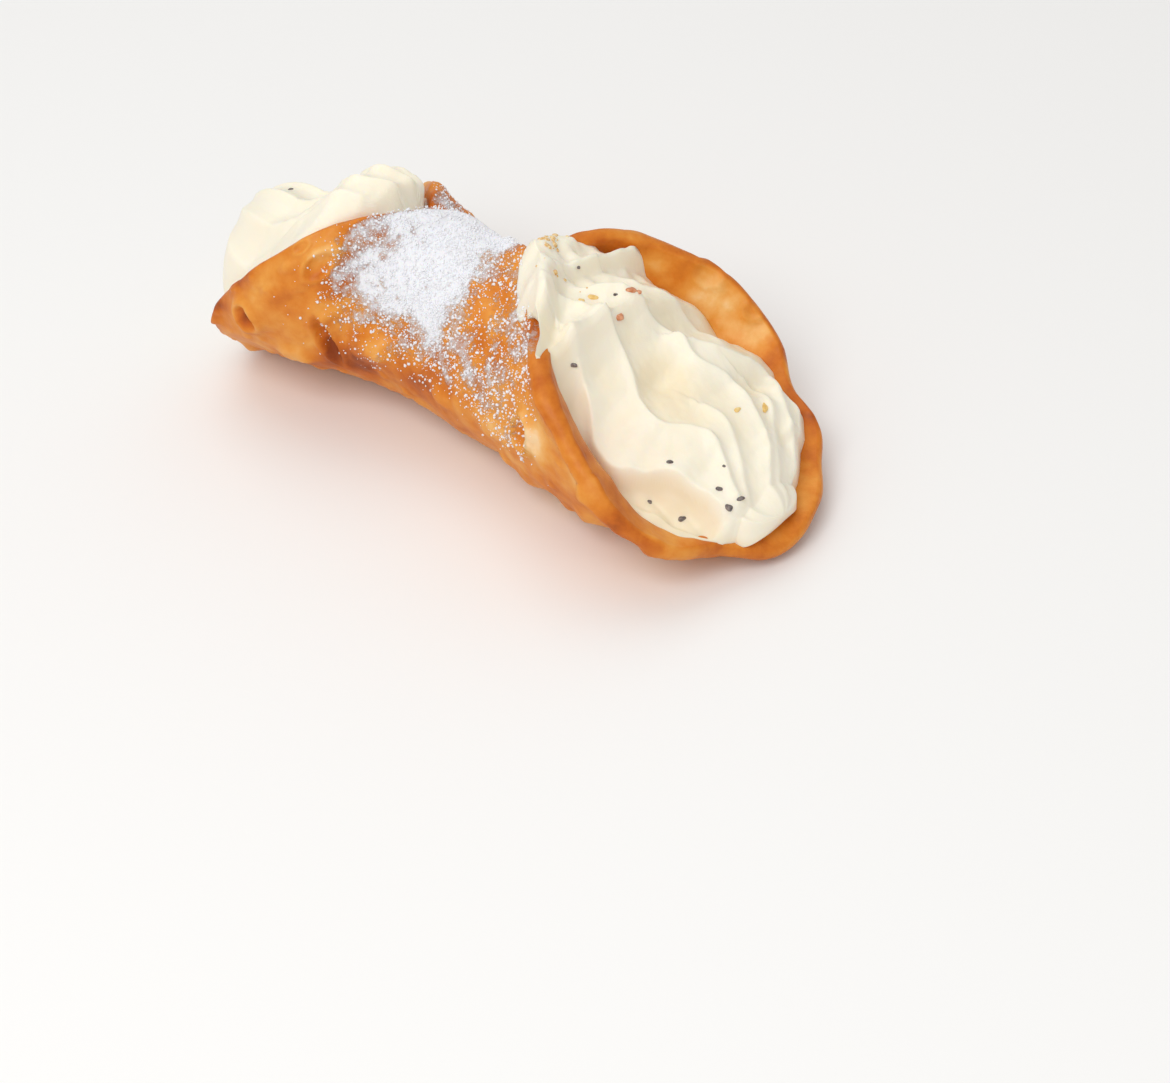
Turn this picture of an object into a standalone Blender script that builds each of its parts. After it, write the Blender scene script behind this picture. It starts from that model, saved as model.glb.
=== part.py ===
"""A cannolo: one round sheet of dough, wrapped on a tube and fried, with a ricotta
cream filling that runs through it and heaps up in both mouths.

Frame: metres, +Z up, +X towards the large front mouth, -Y the near side, origin in the
middle of the footprint. The shapes are worked out in millimetres about the axis of the
tube, then the whole cannolo is tipped onto the spots it lies on.

A place on the dough is (x, arc): x runs along the tube from its waist, and arc runs
around it from the bottom line, below zero on the near side.
"""
import bmesh
import bpy
import numpy as np

MM = 0.001                # metres in a millimetre

# Driving dimensions, millimetres and degrees
WAIST_RADIUS = 14.5       # outside of the tube where it is narrowest
WAIST_HALF = 3.0          # half the length over which the tube keeps that radius
DOUGH = 2.3               # thickness of the fried sheet
GAP = 0.55                # between the sheet and the cream
LIP = 8.0                 # width of the band along the rim that curls outwards
OUTER_STEP = 2.4          # how far the near flap rises over the far one at the lap
INNER_STEP = 1.3          # how far the far flap is pressed in under it
BOTTOM_FRONT = 10.4       # rise of the bottom line at the front lip
BOTTOM_REAR = -7.9        # fall of the bottom line at the rear lip
DRIFT_FRONT = 3.8         # sideways drift of the front lip towards the far side
DRIFT_REAR = 0.2
CREAM_REAR = -34.0        # where the cream leaves the dough at the back
CREAM_FRONT = 60.5        # and where its front end starts to round off
REAR_CAP = 14.3           # length of the rounded rear end of the cream
FRONT_CAP = 2.5
REAR_LIFT = 3.0           # how far the middle of a rounded end stands over its ring's middle
FRONT_LIFT = 0.4
PITCH = 6.5               # tips the cannolo onto its belly and rear end
ROLL = -1.5
FLAT_SPOT = 0.3           # depth of the flat spots it lies on
LAP_FROM = 105.0          # degrees around from the bottom line where the flaps start to part
LAP_RUN = 60.0            # and how much further they are fully stepped
LAP_FADE = 8.0            # length along the tube over which the steps fade out
BOTTOM_POWER = 3.2        # how late the front of the bottom line rises
CLOSED_AT = 174.0         # degrees around at which the cream stops inside the closed tube
LAP_CLEARANCE = 0.4       # extra room under the outer flap
NARROW = (4.0, 14.0)      # the crest fades in as the mouth widens past these, start and run

# Mesh densities
SHEET_CELLS = 34          # cells across the dough each way
CREAM_STATIONS = 42       # rings along the cream
WALL_STEPS = 20           # points of a ring that lie along the dough
DOME_STEPS = 28           # points of a ring over the top
CAP_RINGS = 4

# One quarter of the dough each: reach along the tube, half width around it, power of the
# rounded outline (2 is an ellipse), widening of the tube, run over which it widens, curl
# of the rim, and how far from the waist the flaps stay lapped
FRONT_NEAR = dict(reach=66.4, width=49.8, power=1.81, flare=21.5, run=50.9, curl=4.0, lapped=10.0)
FRONT_FAR = dict(reach=66.4, width=47.4, power=1.61, flare=21.1, run=25.7, curl=1.9, lapped=10.0)
REAR_NEAR = dict(reach=37.9, width=49.8, power=2.30, flare=12.5, run=12.4, curl=-1.4, lapped=4.0)
REAR_FAR = dict(reach=37.9, width=47.4, power=1.73, flare=4.0, run=12.4, curl=-1.1, lapped=6.0)

# Swellings and dimples of the dough: x, arc, half length, half width, height
SWELLINGS = (
    (44.0, -18.0, 14.0, 8.0, 1.6),      # belly of the near side
    (27.0, -16.0, 2.6, 2.6, 1.0),
    (41.0, -19.0, 2.8, 2.4, 0.9),
    (52.0, -14.0, 3.0, 2.6, 0.9),
    (-4.5, -23.0, 4.0, 3.2, 1.4),       # bulge under the waist, with a fold beside it
    (-9.0, -27.0, 1.6, 5.0, -0.9),
    (-24.0, -31.0, 3.4, 3.0, 1.2),      # burst blister at the rear tip
    (-12.5, -43.0, 2.0, 2.0, 0.8),
    (27.5, 38.5, 2.6, 2.6, 0.8),        # blisters of the far wall
    (38.0, 33.0, 2.4, 2.4, 0.6),
    (14.0, 26.0, 3.6, 3.0, 1.1),
    (-14.0, 24.0, 3.2, 3.0, 1.0),
    (34.0, 16.0, 4.0, 3.4, 0.9),
)

# Ripples of the rim: waves around the dough, height across it, height within it, start
RIM_WAVES = ((7, 0.45, 0.45, 0.6), (13, 0.30, 0.40, 2.1), (21, 0.10, 0.25, 4.0))

# The cream along the tube: (x, value) pairs, eased from one to the next
NEAR_MARGIN = (           # how far below the rim it leaves the near flap
    (-38, 2), (-33, 9), (-28, 12), (-22, 8), (-16, 1), (-8, -1), (0, 2),
    (18, 0.8), (24, 2.5), (32, 7), (40, 8.5), (50, 8), (57, 5), (66, 3),
)
FAR_MARGIN = (
    (-38, 2), (-33, 6), (-28, 8), (-24, 4.5), (-18, -1), (-8, -1.2), (0, 2), (9, 1),
    (14, 4), (18, 7), (30, 8), (35, 7.5), (42, 4), (50, 3), (60, 6.5),
)
CREST = (                 # how far the middle stands over the line between the flaps
    (-36, 22.5), (-30, 17), (-20, 9), (-12, 4), (-6, 1), (-3, 0), (4, 0), (8, 2.5),
    (12, 4), (16, 4.5), (22, 5), (30, 6.5), (40, 8), (50, 7.5), (58, 5), (61, 3.5),
)

# Piped ridges of the cream seen from above: points (x, y), half width, height
RIDGES = (
    (((28, -11), (34, -10), (39, -13), (46, -15)), 1.8, 1.5),
    (((26, -3), (34, -2), (39, -5), (43, -7), (50, -2), (61, -5)), 2.0, 1.7),
    (((25, 6), (33, 8), (40, 8), (47, 10), (54, 8), (60, 2)), 2.0, 1.6),
    (((38, 11), (42, 15), (45, 20), (51, 17), (55, 13)), 1.8, 1.3),
    (((39, 1), (41, -6)), 2.0, -1.3),
    (((47, -14), (54, -11), (60, -10)), 1.5, -1.8),
    (((-14, -2), (-24, -4), (-36, -6)), 2.6, 1.3),
    (((-16, 7), (-28, 5), (-40, 3)), 2.6, 1.4),
)


def ease(t):
    """Smooth step from 0 to 1 as t goes from 0 to 1."""
    t = np.clip(t, 0.0, 1.0)
    return t * t * (3.0 - 2.0 * t)


def quarter(x, side, key):
    """A dimension of the dough's quarter that holds x and side, side < 0 being near."""
    front = np.where(side < 0, FRONT_NEAR[key], FRONT_FAR[key])
    rear = np.where(side < 0, REAR_NEAR[key], REAR_FAR[key])
    return np.where(x > 0, front, rear)


def bend_radius(x, side):
    """Radius of the rolled dough: the waist's, widening towards each mouth."""
    u = np.maximum(0.0, np.abs(x) - WAIST_HALF) / quarter(x, side, "run")
    return WAIST_RADIUS + quarter(x, side, "flare") * u * u / (1.0 + u * u)


def half_width(x, side):
    """Arc from the bottom line to the rim: a rounded outline of the quarter's power."""
    q = np.clip(np.abs(x) / quarter(x, side, "reach"), 0.0, 1.0)
    power = quarter(x, side, "power")
    return quarter(x, side, "width") * (1.0 - q ** power) ** (1.0 / power)


def share_to_rim(x, arc):
    """0 in the middle of the dough and 1 on its outline."""
    along, across = np.abs(x / quarter(x, arc, "reach")), np.abs(arc / quarter(x, arc, "width"))
    power = quarter(x, arc, "power")
    return (along ** power + across ** power) ** (1.0 / power)


def lap(x, arc):
    """How fully the two flaps lie over each other: 1 at the top of the waist."""
    turn = np.degrees(np.abs(arc) / bend_radius(x, arc))
    beyond = np.abs(x) - quarter(x, arc, "lapped")
    return ease((turn - LAP_FROM) / LAP_RUN) * (1.0 - ease(beyond / LAP_FADE))


def outer_skin(x, arc):
    """Smooth outer face of the rolled dough, without its swellings."""
    radius = bend_radius(x, arc)
    turn = np.abs(arc) / radius
    share = np.maximum(share_to_rim(x, arc), 1e-6)
    rim = np.clip(1.0 - (1.0 - share) / share * np.hypot(x, arc) / LIP, 0.0, 1.1)
    near_curl, far_curl = quarter(x, -1.0, "curl"), quarter(x, 1.0, "curl")
    curl = near_curl + (far_curl - near_curl) * ease((arc + LIP) / (2.0 * LIP))
    curl = curl * ease((np.abs(x) - 4.0) / 12.0) * rim * rim
    r = radius + curl + np.where(arc < 0, OUTER_STEP, -INNER_STEP) * lap(x, arc)
    q = np.abs(x) / quarter(x, arc, "reach")
    drift = np.where(x > 0, DRIFT_FRONT, DRIFT_REAR) * q * q
    bottom = np.where(x > 0, BOTTOM_FRONT * q ** BOTTOM_POWER, BOTTOM_REAR * q * q)
    y = np.sign(arc) * r * np.sin(turn) + drift
    z = radius - r * np.cos(turn) - WAIST_RADIUS + bottom
    return np.stack([x, y, z], -1)


def outward(x, arc, step=0.05):
    """Unit normal of the outer skin, from small steps along and around the tube."""
    along = outer_skin(x + step, arc) - outer_skin(x - step, arc)
    around = outer_skin(x, arc + step) - outer_skin(x, arc - step)
    n = np.cross(around, along)
    return n / np.linalg.norm(n, axis=-1, keepdims=True)


def relief(x, arc):
    """Height of the dough's swellings, dimples and rim ripples over the outer skin."""
    total = np.zeros_like(x)
    for cx, ca, rx, ra, height in SWELLINGS:
        total += height * np.exp(-((x - cx) / rx) ** 2 - ((arc - ca) / ra) ** 2)
    direction = np.arctan2(arc / quarter(x, arc, "width"), x / quarter(x, arc, "reach"))
    near_rim = ease((share_to_rim(x, arc) - 0.75) / 0.25)
    for waves, height, _, start in RIM_WAVES:
        total += height * np.sin(waves * direction + start + 1.0) * near_rim
    return total


def place_on_dough(u, v):
    """Square grid (u, v) to (x, arc): square to disc, then each quarter to its outline."""
    p = u * np.sqrt(1.0 - v * v / 2.0)
    q = v * np.sqrt(1.0 - u * u / 2.0)
    share = np.hypot(p, q)
    across, along = np.abs(q), np.abs(p)
    away = np.maximum(share, 1e-9)
    power = quarter(p, q, "power")
    stretch = ((along / away) ** power + (across / away) ** power + (share < 1e-9)) ** (-1.0 / power)
    direction = np.arctan2(q, p)
    for waves, _, within, start in RIM_WAVES:
        notch = within / 50.0 * (np.sin(waves * direction + start) - 1.0)
        stretch = stretch * (1.0 + notch * share ** 6)
    return p * stretch * quarter(p, q, "reach"), q * stretch * quarter(p, q, "width")


def dough_point(u, v, depth):
    """The dough at a point of the square grid, at a depth under its outer face, in mm."""
    x, arc = place_on_dough(u, v)
    return outer_skin(x, arc) + outward(x, arc) * (relief(x, arc) - depth)[..., None]


def along_cream(x, pairs):
    """Value at x of a list of (x, value) pairs, eased between neighbours."""
    knots = np.array(pairs, float)
    i = np.clip(np.searchsorted(knots[:, 0], x, side="right") - 1, 0, len(knots) - 2)
    left, right = knots[i], knots[i + 1]
    t = np.clip((x - left[..., 0]) / (right[..., 0] - left[..., 0]), 0.0, 1.0)
    return left[..., 1] + (right[..., 1] - left[..., 1]) * (0.5 * t + 0.5 * ease(t))


def contact(x, side, margin):
    """Arc at which the cream leaves the dough: a margin below the rim, or at the top."""
    side = np.full_like(x, side)
    closed = np.radians(CLOSED_AT) * bend_radius(x, side)
    return np.minimum(np.maximum(half_width(x, side) - along_cream(x, margin), 0.5), closed)


def cream_wall(x, arc):
    """Face of the cream along the inside of the dough."""
    under = np.where(arc < 0, OUTER_STEP + INNER_STEP + LAP_CLEARANCE, 0.0) * lap(x, arc)
    depth = DOUGH + GAP + under - relief(x, arc)
    return outer_skin(x, arc) - outward(x, arc) * depth[..., None]


def cream_dome(start, end, crest, steps):
    """Round arch over the mouth from start to end that rises by crest in the middle."""
    chord = start - end
    width = np.linalg.norm(chord, axis=-1, keepdims=True)
    sideways = chord / width
    upwards = np.cross(np.array([1.0, 0.0, 0.0]), sideways)
    upwards /= np.linalg.norm(upwards, axis=-1, keepdims=True)
    fade = np.clip((width - NARROW[0]) / NARROW[1], 0.0, 1.0)
    rise = np.maximum(crest[:, None, None] * fade, 0.02)
    radius = (width * width / 4.0 + rise * rise) / (2.0 * rise)
    angle = 2.0 * np.arctan(2.0 * rise / width) * np.linspace(1.0, -1.0, steps + 2)[None, 1:-1, None]
    centre = (start + end) / 2.0 + upwards * (rise - radius)
    return centre + radius * (sideways * np.sin(angle) + upwards * np.cos(angle)), upwards


def distance_to_path(p, path):
    """Distance of the points p, seen from above, to a path of (x, y) points."""
    best = np.full(p.shape[:-1], np.inf)
    for a, b in zip(np.array(path[:-1], float), np.array(path[1:], float)):
        t = np.clip(((p[..., :2] - a) @ (b - a)) / ((b - a) @ (b - a)), 0.0, 1.0)
        best = np.minimum(best, np.linalg.norm(p[..., :2] - a - t[..., None] * (b - a), axis=-1))
    return best


def cream_rings():
    """Rings of the cream from back to front: along the dough, then over the dome."""
    x = np.linspace(CREAM_REAR, CREAM_FRONT, CREAM_STATIONS)
    near, far = contact(x, -1.0, NEAR_MARGIN), contact(x, 1.0, FAR_MARGIN)
    t = np.linspace(0.0, 1.0, WALL_STEPS)[None]
    arc = -near[:, None] + (near + far)[:, None] * t
    wall = cream_wall(x[:, None] + 0.0 * t, arc)
    dome, upwards = cream_dome(wall[:, -1:], wall[:, :1], along_cream(x, CREST), DOME_STEPS)
    edge = np.sin(np.linspace(0.0, np.pi, DOME_STEPS + 2))[None, 1:-1]
    piping = np.zeros(dome.shape[:-1])
    for path, width, height in RIDGES:
        piping += height * np.exp(-(distance_to_path(dome, path) / width) ** 2)
    dome = dome + upwards * (piping * ease(2.0 * edge))[..., None]
    return np.concatenate([wall, dome], axis=1)


def rounded_end(ring, length, lift):
    """Rings that close one end: the last ring shrinks in a quarter circle over length,
    about a centre that stands clear of the dough."""
    centre = ring.mean(axis=0) + np.array([0.0, 0.0, lift])
    rings = []
    for angle in np.linspace(0.0, np.pi / 2.0, CAP_RINGS + 1)[1:-1]:
        shrunk = centre + (ring - centre) * np.cos(angle)
        rings.append(shrunk + np.array([length * np.sin(angle), 0.0, 0.0]))
    return rings, centre + np.array([length, 0.0, 0.0])


def tipped(points):
    """Turn points from the tube's own frame to the way the cannolo lies."""
    p, r = np.radians(PITCH), np.radians(ROLL)
    about_y = np.array([[np.cos(p), 0, np.sin(p)], [0, 1, 0], [-np.sin(p), 0, np.cos(p)]])
    about_x = np.array([[1, 0, 0], [0, np.cos(r), -np.sin(r)], [0, np.sin(r), np.cos(r)]])
    return points @ (about_x @ about_y).T


def named_material(name, colour, roughness):
    """A plain Principled material."""
    material = bpy.data.materials.new(name)
    material.use_nodes = True
    shader = material.node_tree.nodes["Principled BSDF"]
    shader.inputs["Base Color"].default_value = (*colour, 1.0)
    shader.inputs["Roughness"].default_value = roughness
    material.diffuse_color = (*colour, 1.0)
    return material


def add_object(name, mesh, material):
    """Put a smooth-shaded mesh into the scene under its name."""
    mesh.shade_smooth()
    mesh.set_sharp_from_angle(angle=np.radians(50.0))
    mesh.materials.append(material)
    piece = bpy.data.objects.new(name, mesh)
    bpy.context.scene.collection.objects.link(piece)
    return piece


def make_shell():
    """The dough: a flat slab of square cells, carried onto the rolled sheet."""
    bm = bmesh.new()
    bmesh.ops.create_grid(bm, x_segments=SHEET_CELLS, y_segments=SHEET_CELLS, size=1.0)
    slab = bmesh.ops.extrude_face_region(bm, geom=bm.faces[:])
    inner = [item for item in slab["geom"] if isinstance(item, bmesh.types.BMVert)]
    bmesh.ops.translate(bm, verts=inner, vec=(0.0, 0.0, 1.0))
    u, v, under = np.array([vert.co[:] for vert in bm.verts]).T
    u, v = (np.sign(side) * (1.0 - (1.0 - np.abs(side)) ** 1.25) for side in (u, v))
    for vert, point in zip(bm.verts, tipped(dough_point(u, v, DOUGH * under))):
        vert.co = point
    bmesh.ops.recalc_face_normals(bm, faces=bm.faces)
    mesh = bpy.data.meshes.new("shell")
    bm.to_mesh(mesh)
    bm.free()
    return add_object("shell", mesh, named_material("fried dough", (0.62, 0.27, 0.06), 0.55))


def make_cream():
    """The filling: rings bridged along the tube, with a rounded end at each mouth."""
    rings = cream_rings()
    rear, rear_tip = rounded_end(rings[0], -REAR_CAP, REAR_LIFT)
    front, front_tip = rounded_end(rings[-1], FRONT_CAP, FRONT_LIFT)
    rows = [tipped(ring) for ring in (*rear[::-1], *rings, *front)]
    bm = bmesh.new()
    loops = [[bm.verts.new(point) for point in row] for row in rows]
    for low, high in zip(loops, loops[1:]):
        for a, b, c, d in zip(low, low[1:] + low[:1], high[1:] + high[:1], high):
            bm.faces.new((a, b, c, d))
    for tip, loop in ((rear_tip, loops[0]), (front_tip, loops[-1])):
        middle = bm.verts.new(tipped(tip))
        for a, b in zip(loop, loop[1:] + loop[:1]):
            bm.faces.new((middle, a, b))
    bmesh.ops.recalc_face_normals(bm, faces=bm.faces)
    mesh = bpy.data.meshes.new("cream")
    bm.to_mesh(mesh)
    bm.free()
    return add_object("cream", mesh, named_material("ricotta cream", (0.87, 0.79, 0.62), 0.45))


def set_down(pieces):
    """Centre the pieces over the origin, lower them to the ground, press flat spots, and
    turn millimetres into metres."""
    corners = np.concatenate([[v.co[:] for v in piece.data.vertices] for piece in pieces])
    low, high = corners.min(axis=0), corners.max(axis=0)
    shift = np.array([-(low[0] + high[0]) / 2.0, -(low[1] + high[1]) / 2.0, -low[2] - FLAT_SPOT])
    for piece in pieces:
        for vert in piece.data.vertices:
            x, y, z = np.array(vert.co) + shift
            vert.co = (x * MM, y * MM, max(z, 0.0) * MM)


def main():
    for old in list(bpy.data.objects):
        bpy.data.objects.remove(old, do_unlink=True)
    set_down([make_shell(), make_cream()])


main()
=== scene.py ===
"""The looks of a cannolo: a blistered tube of fried dough, filled with piped ricotta cream,
with chocolate chips and candied peel in it and powdered sugar over the waist.

Shapes are worked out in millimetres about the axis of the tube, as the solids are, and
`settled` lays them down in the frame. A place on the dough is (x, arc): x runs along the
tube from its waist, and arc runs around it from the bottom line, below zero on the near side.
"""

import bmesh
import bpy
import numpy as np
from mathutils import Matrix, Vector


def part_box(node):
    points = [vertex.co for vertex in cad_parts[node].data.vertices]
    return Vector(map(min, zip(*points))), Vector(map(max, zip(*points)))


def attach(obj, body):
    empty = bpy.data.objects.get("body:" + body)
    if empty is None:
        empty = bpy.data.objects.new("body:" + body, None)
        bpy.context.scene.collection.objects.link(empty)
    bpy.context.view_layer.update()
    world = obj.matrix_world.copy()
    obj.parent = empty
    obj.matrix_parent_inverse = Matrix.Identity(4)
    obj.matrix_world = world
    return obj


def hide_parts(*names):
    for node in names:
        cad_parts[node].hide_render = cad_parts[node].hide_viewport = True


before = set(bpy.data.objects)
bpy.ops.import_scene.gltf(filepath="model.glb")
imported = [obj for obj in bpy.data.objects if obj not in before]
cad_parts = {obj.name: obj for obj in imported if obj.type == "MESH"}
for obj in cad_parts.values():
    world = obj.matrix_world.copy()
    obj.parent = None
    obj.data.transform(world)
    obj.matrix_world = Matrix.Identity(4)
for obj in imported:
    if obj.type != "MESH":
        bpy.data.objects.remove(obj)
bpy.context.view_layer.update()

MM = 0.001                # metres in a millimetre

# --- The rolled dough, as in the solid -------------------------------------------------

WAIST_RADIUS = 14.5
WAIST_HALF = 3.0          # half length of the straight waist
DOUGH = 2.3               # thickness
LIP = 8.0                 # width of the band along the rim that curls
OUTER_STEP = 2.4          # how far the near flap steps out at the lap
INNER_STEP = 1.3          # how far the far flap steps in under it
BOTTOM_FRONT = 10.4       # rise of the bottom line at the front tip, and its power
BOTTOM_POWER = 3.2
BOTTOM_REAR = -7.9        # and at the rear tip, where it falls as a square
DRIFT_FRONT = 3.8         # how far the tips bend sideways
DRIFT_REAR = 0.2
LAP_FROM = 105.0          # degrees from the bottom line at which the lap starts
LAP_RUN = 60.0            # and the degrees to its full step
LAP_FADE = 8.0            # length over which the step fades along the tube
PITCH = 6.5               # tilt of the cannolo as it lies, in degrees
ROLL = -1.5

FRONT_NEAR = dict(reach=66.4, width=49.8, power=1.81, flare=21.5, run=50.9, curl=4.0, lapped=10.0)
FRONT_FAR = dict(reach=66.4, width=47.4, power=1.61, flare=21.1, run=25.7, curl=1.9, lapped=10.0)
REAR_NEAR = dict(reach=37.9, width=49.8, power=2.30, flare=12.5, run=12.4, curl=-1.4, lapped=4.0)
REAR_FAR = dict(reach=37.9, width=47.4, power=1.73, flare=4.0, run=12.4, curl=-1.1, lapped=6.0)

# Swellings and dimples: x, arc, half length, half width, height
SWELLINGS = (
    (44.0, -18.0, 14.0, 8.0, 1.6),
    (27.0, -16.0, 2.6, 2.6, 1.0),
    (41.0, -19.0, 2.8, 2.4, 0.9),
    (52.0, -14.0, 3.0, 2.6, 0.9),
    (-4.5, -23.0, 4.0, 3.2, 1.4),
    (-9.0, -27.0, 1.6, 5.0, -0.9),
    (-24.0, -31.0, 3.4, 3.0, 1.2),
    (-12.5, -43.0, 2.0, 2.0, 0.8),
    (27.5, 38.5, 2.6, 2.6, 0.8),
    (38.0, 33.0, 2.4, 2.4, 0.6),
    (14.0, 26.0, 3.6, 3.0, 1.1),
    (-14.0, 24.0, 3.2, 3.0, 1.0),
    (34.0, 16.0, 4.0, 3.4, 0.9),
)

# Ripples of the rim: waves around the dough, height across it, height within it, start
RIM_WAVES = ((7, 0.45, 0.45, 0.6), (13, 0.30, 0.40, 2.1), (21, 0.10, 0.25, 4.0))

SHEET_CELLS = 208         # cells across the dough each way
RIM_ROWS = 3              # rows of points round the cut edge


def ease(t):
    """Smooth step from 0 to 1 as t goes from 0 to 1."""
    t = np.clip(t, 0.0, 1.0)
    return t * t * (3.0 - 2.0 * t)


def quarter(x, side, key):
    """A dimension of the dough's quarter that holds x and side, side < 0 being near."""
    front = np.where(side < 0, FRONT_NEAR[key], FRONT_FAR[key])
    rear = np.where(side < 0, REAR_NEAR[key], REAR_FAR[key])
    return np.where(x > 0, front, rear)


def bend_radius(x, side):
    """Radius of the rolled dough: the waist's, plus flare u² / (1 + u²) towards a mouth."""
    u = np.maximum(0.0, np.abs(x) - WAIST_HALF) / quarter(x, side, "run")
    return WAIST_RADIUS + quarter(x, side, "flare") * u * u / (1.0 + u * u)


def half_width(x, side):
    """Arc from the bottom line to the rim: a rounded outline of the quarter's power."""
    q = np.clip(np.abs(x) / quarter(x, side, "reach"), 0.0, 1.0)
    power = quarter(x, side, "power")
    return quarter(x, side, "width") * (1.0 - q ** power) ** (1.0 / power)


def share_to_rim(x, arc):
    """0 in the middle of the dough and 1 on its outline."""
    along, across = np.abs(x / quarter(x, arc, "reach")), np.abs(arc / quarter(x, arc, "width"))
    power = quarter(x, arc, "power")
    return (along ** power + across ** power) ** (1.0 / power)


def to_rim(x, arc):
    """Distance to the outline along the line from the middle, in mm."""
    share = np.maximum(share_to_rim(x, arc), 1e-6)
    return (1.0 - share) / share * np.hypot(x, arc)


def lap(x, arc):
    """How fully the two flaps lie over each other: 1 at the top of the waist."""
    turn = np.degrees(np.abs(arc) / bend_radius(x, arc))
    beyond = np.abs(x) - quarter(x, arc, "lapped")
    return ease((turn - LAP_FROM) / LAP_RUN) * (1.0 - ease(beyond / LAP_FADE))


def outer_skin(x, arc):
    """Smooth outer face of the rolled dough: a circle about the tube, whose radius flares,
    curls at the lip and steps at the lap, carried on a bottom line that bends and drifts."""
    radius = bend_radius(x, arc)
    turn = np.abs(arc) / radius
    rim = np.clip(1.0 - to_rim(x, arc) / LIP, 0.0, 1.1)
    near_curl, far_curl = quarter(x, -1.0, "curl"), quarter(x, 1.0, "curl")
    curl = near_curl + (far_curl - near_curl) * ease((arc + LIP) / (2.0 * LIP))
    curl = curl * ease((np.abs(x) - 4.0) / 12.0) * rim * rim
    r = radius + curl + np.where(arc < 0, OUTER_STEP, -INNER_STEP) * lap(x, arc)
    q = np.abs(x) / quarter(x, arc, "reach")
    drift = np.where(x > 0, DRIFT_FRONT, DRIFT_REAR) * q * q
    bottom = np.where(x > 0, BOTTOM_FRONT * q ** BOTTOM_POWER, BOTTOM_REAR * q * q)
    y = np.sign(arc) * r * np.sin(turn) + drift
    z = radius - r * np.cos(turn) - WAIST_RADIUS + bottom
    return np.stack([x, y, z], -1)


def outward(x, arc, step=0.05):
    """Unit normal of the outer skin, from small steps along and around the tube."""
    along = outer_skin(x + step, arc) - outer_skin(x - step, arc)
    around = outer_skin(x, arc + step) - outer_skin(x, arc - step)
    n = np.cross(around, along)
    return n / np.linalg.norm(n, axis=-1, keepdims=True)


def relief(x, arc):
    """Height of the swellings, dimples and rim ripples that the solid has too."""
    total = np.zeros_like(x)
    for cx, ca, rx, ra, height in SWELLINGS:
        total += height * np.exp(-((x - cx) / rx) ** 2 - ((arc - ca) / ra) ** 2)
    direction = np.arctan2(arc / quarter(x, arc, "width"), x / quarter(x, arc, "reach"))
    near_rim = ease((share_to_rim(x, arc) - 0.75) / 0.25)
    for waves, height, _, start in RIM_WAVES:
        total += height * np.sin(waves * direction + start + 1.0) * near_rim
    return total


def place_on_dough(u, v):
    """Square grid (u, v) to (x, arc): square to disc, then each quarter to its outline."""
    p = u * np.sqrt(1.0 - v * v / 2.0)
    q = v * np.sqrt(1.0 - u * u / 2.0)
    share = np.hypot(p, q)
    across, along = np.abs(q), np.abs(p)
    away = np.maximum(share, 1e-9)
    power = quarter(p, q, "power")
    stretch = ((along / away) ** power + (across / away) ** power + (share < 1e-9)) ** (-1.0 / power)
    direction = np.arctan2(q, p)
    for waves, _, within, start in RIM_WAVES:
        notch = within / 50.0 * (np.sin(waves * direction + start) - 1.0)
        stretch = stretch * (1.0 + notch * share ** 6)
    return p * stretch * quarter(p, q, "reach"), q * stretch * quarter(p, q, "width")


# --- Noise ------------------------------------------------------------------------------

def lattice(i, j, k, seed):
    """A value from -1 to 1 for each corner of a cubic lattice, by a whole-number hash."""
    h = (i * 374761393 + j * 668265263 + k * 1274126177 + seed * 974634777) & 0xFFFFFFFF
    h = ((h ^ (h >> 13)) * 1274126177) & 0xFFFFFFFF
    return ((h ^ (h >> 16)) & 0xFFFF) / 32767.5 - 1.0


def noise(points, size, seed):
    """Smooth noise from -1 to 1 with lumps of that size in mm: the values at a lattice's
    corners, blended with smooth steps."""
    cell = points / size
    base = np.floor(cell).astype(np.int64)
    part = ease(cell - base)
    total = np.zeros(points.shape[:-1])
    for corner in np.ndindex(2, 2, 2):
        weight = np.prod(np.where(corner, part, 1.0 - part), axis=-1)
        total += weight * lattice(*np.moveaxis(base + np.array(corner), -1, 0), seed)
    return total


def on_dough(x, arc):
    """Points of the flat sheet, for noise that follows the dough."""
    return np.stack([x, arc, np.zeros_like(x)], -1)


# --- Fine shape of the fried dough ------------------------------------------------------

# Open or ringed blisters: x, arc, half length, half width, tilt in degrees, ring, dip
CRATERS = (
    (-24.4, -30.8, 2.9, 1.8, 60.0, 0.60, 1.6),    # burst blister at the rear tip
    (-13.5, -39.7, 1.6, 2.5, 0.0, 0.60, 0.5),     # ring
    (-16.5, -43.5, 0.9, 1.1, 0.0, 0.25, 0.2),
    (29.6, -29.6, 3.3, 1.9, 100.0, 0.85, 1.2),    # long open blister of the near side
    (-11.8, -24.5, 6.5, 1.2, 78.0, 0.35, 1.5),    # fold under the waist
    (-3.4, -24.0, 4.6, 3.0, 0.0, 0.0, -1.1),      # swellings beside it
    (-18.0, -22.0, 3.8, 2.6, 20.0, 0.0, -0.9),
    (10.0, -21.5, 3.2, 2.3, 10.0, 0.0, -0.7),
    (21.0, -23.5, 3.0, 2.2, -20.0, 0.0, -0.7),
    (28.0, 38.5, 1.9, 2.0, 0.0, -0.35, -0.3),     # rings on the far flap, seen from inside
    (36.0, 34.8, 1.3, 1.5, 0.0, -0.30, -0.2),
    (46.0, 29.0, 1.5, 1.3, 0.0, -0.30, -0.2),
)
BLISTER_COUNT = 320
BLISTER_RADII = (0.7, 2.9)
BLISTER_RISE = (0.13, 0.32)   # height of a blister over its radius
BLISTER_SEED = 11
NEAR_LIP_SWELLING = 1.8       # how far the near lip of the front mouth swells inwards


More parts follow.
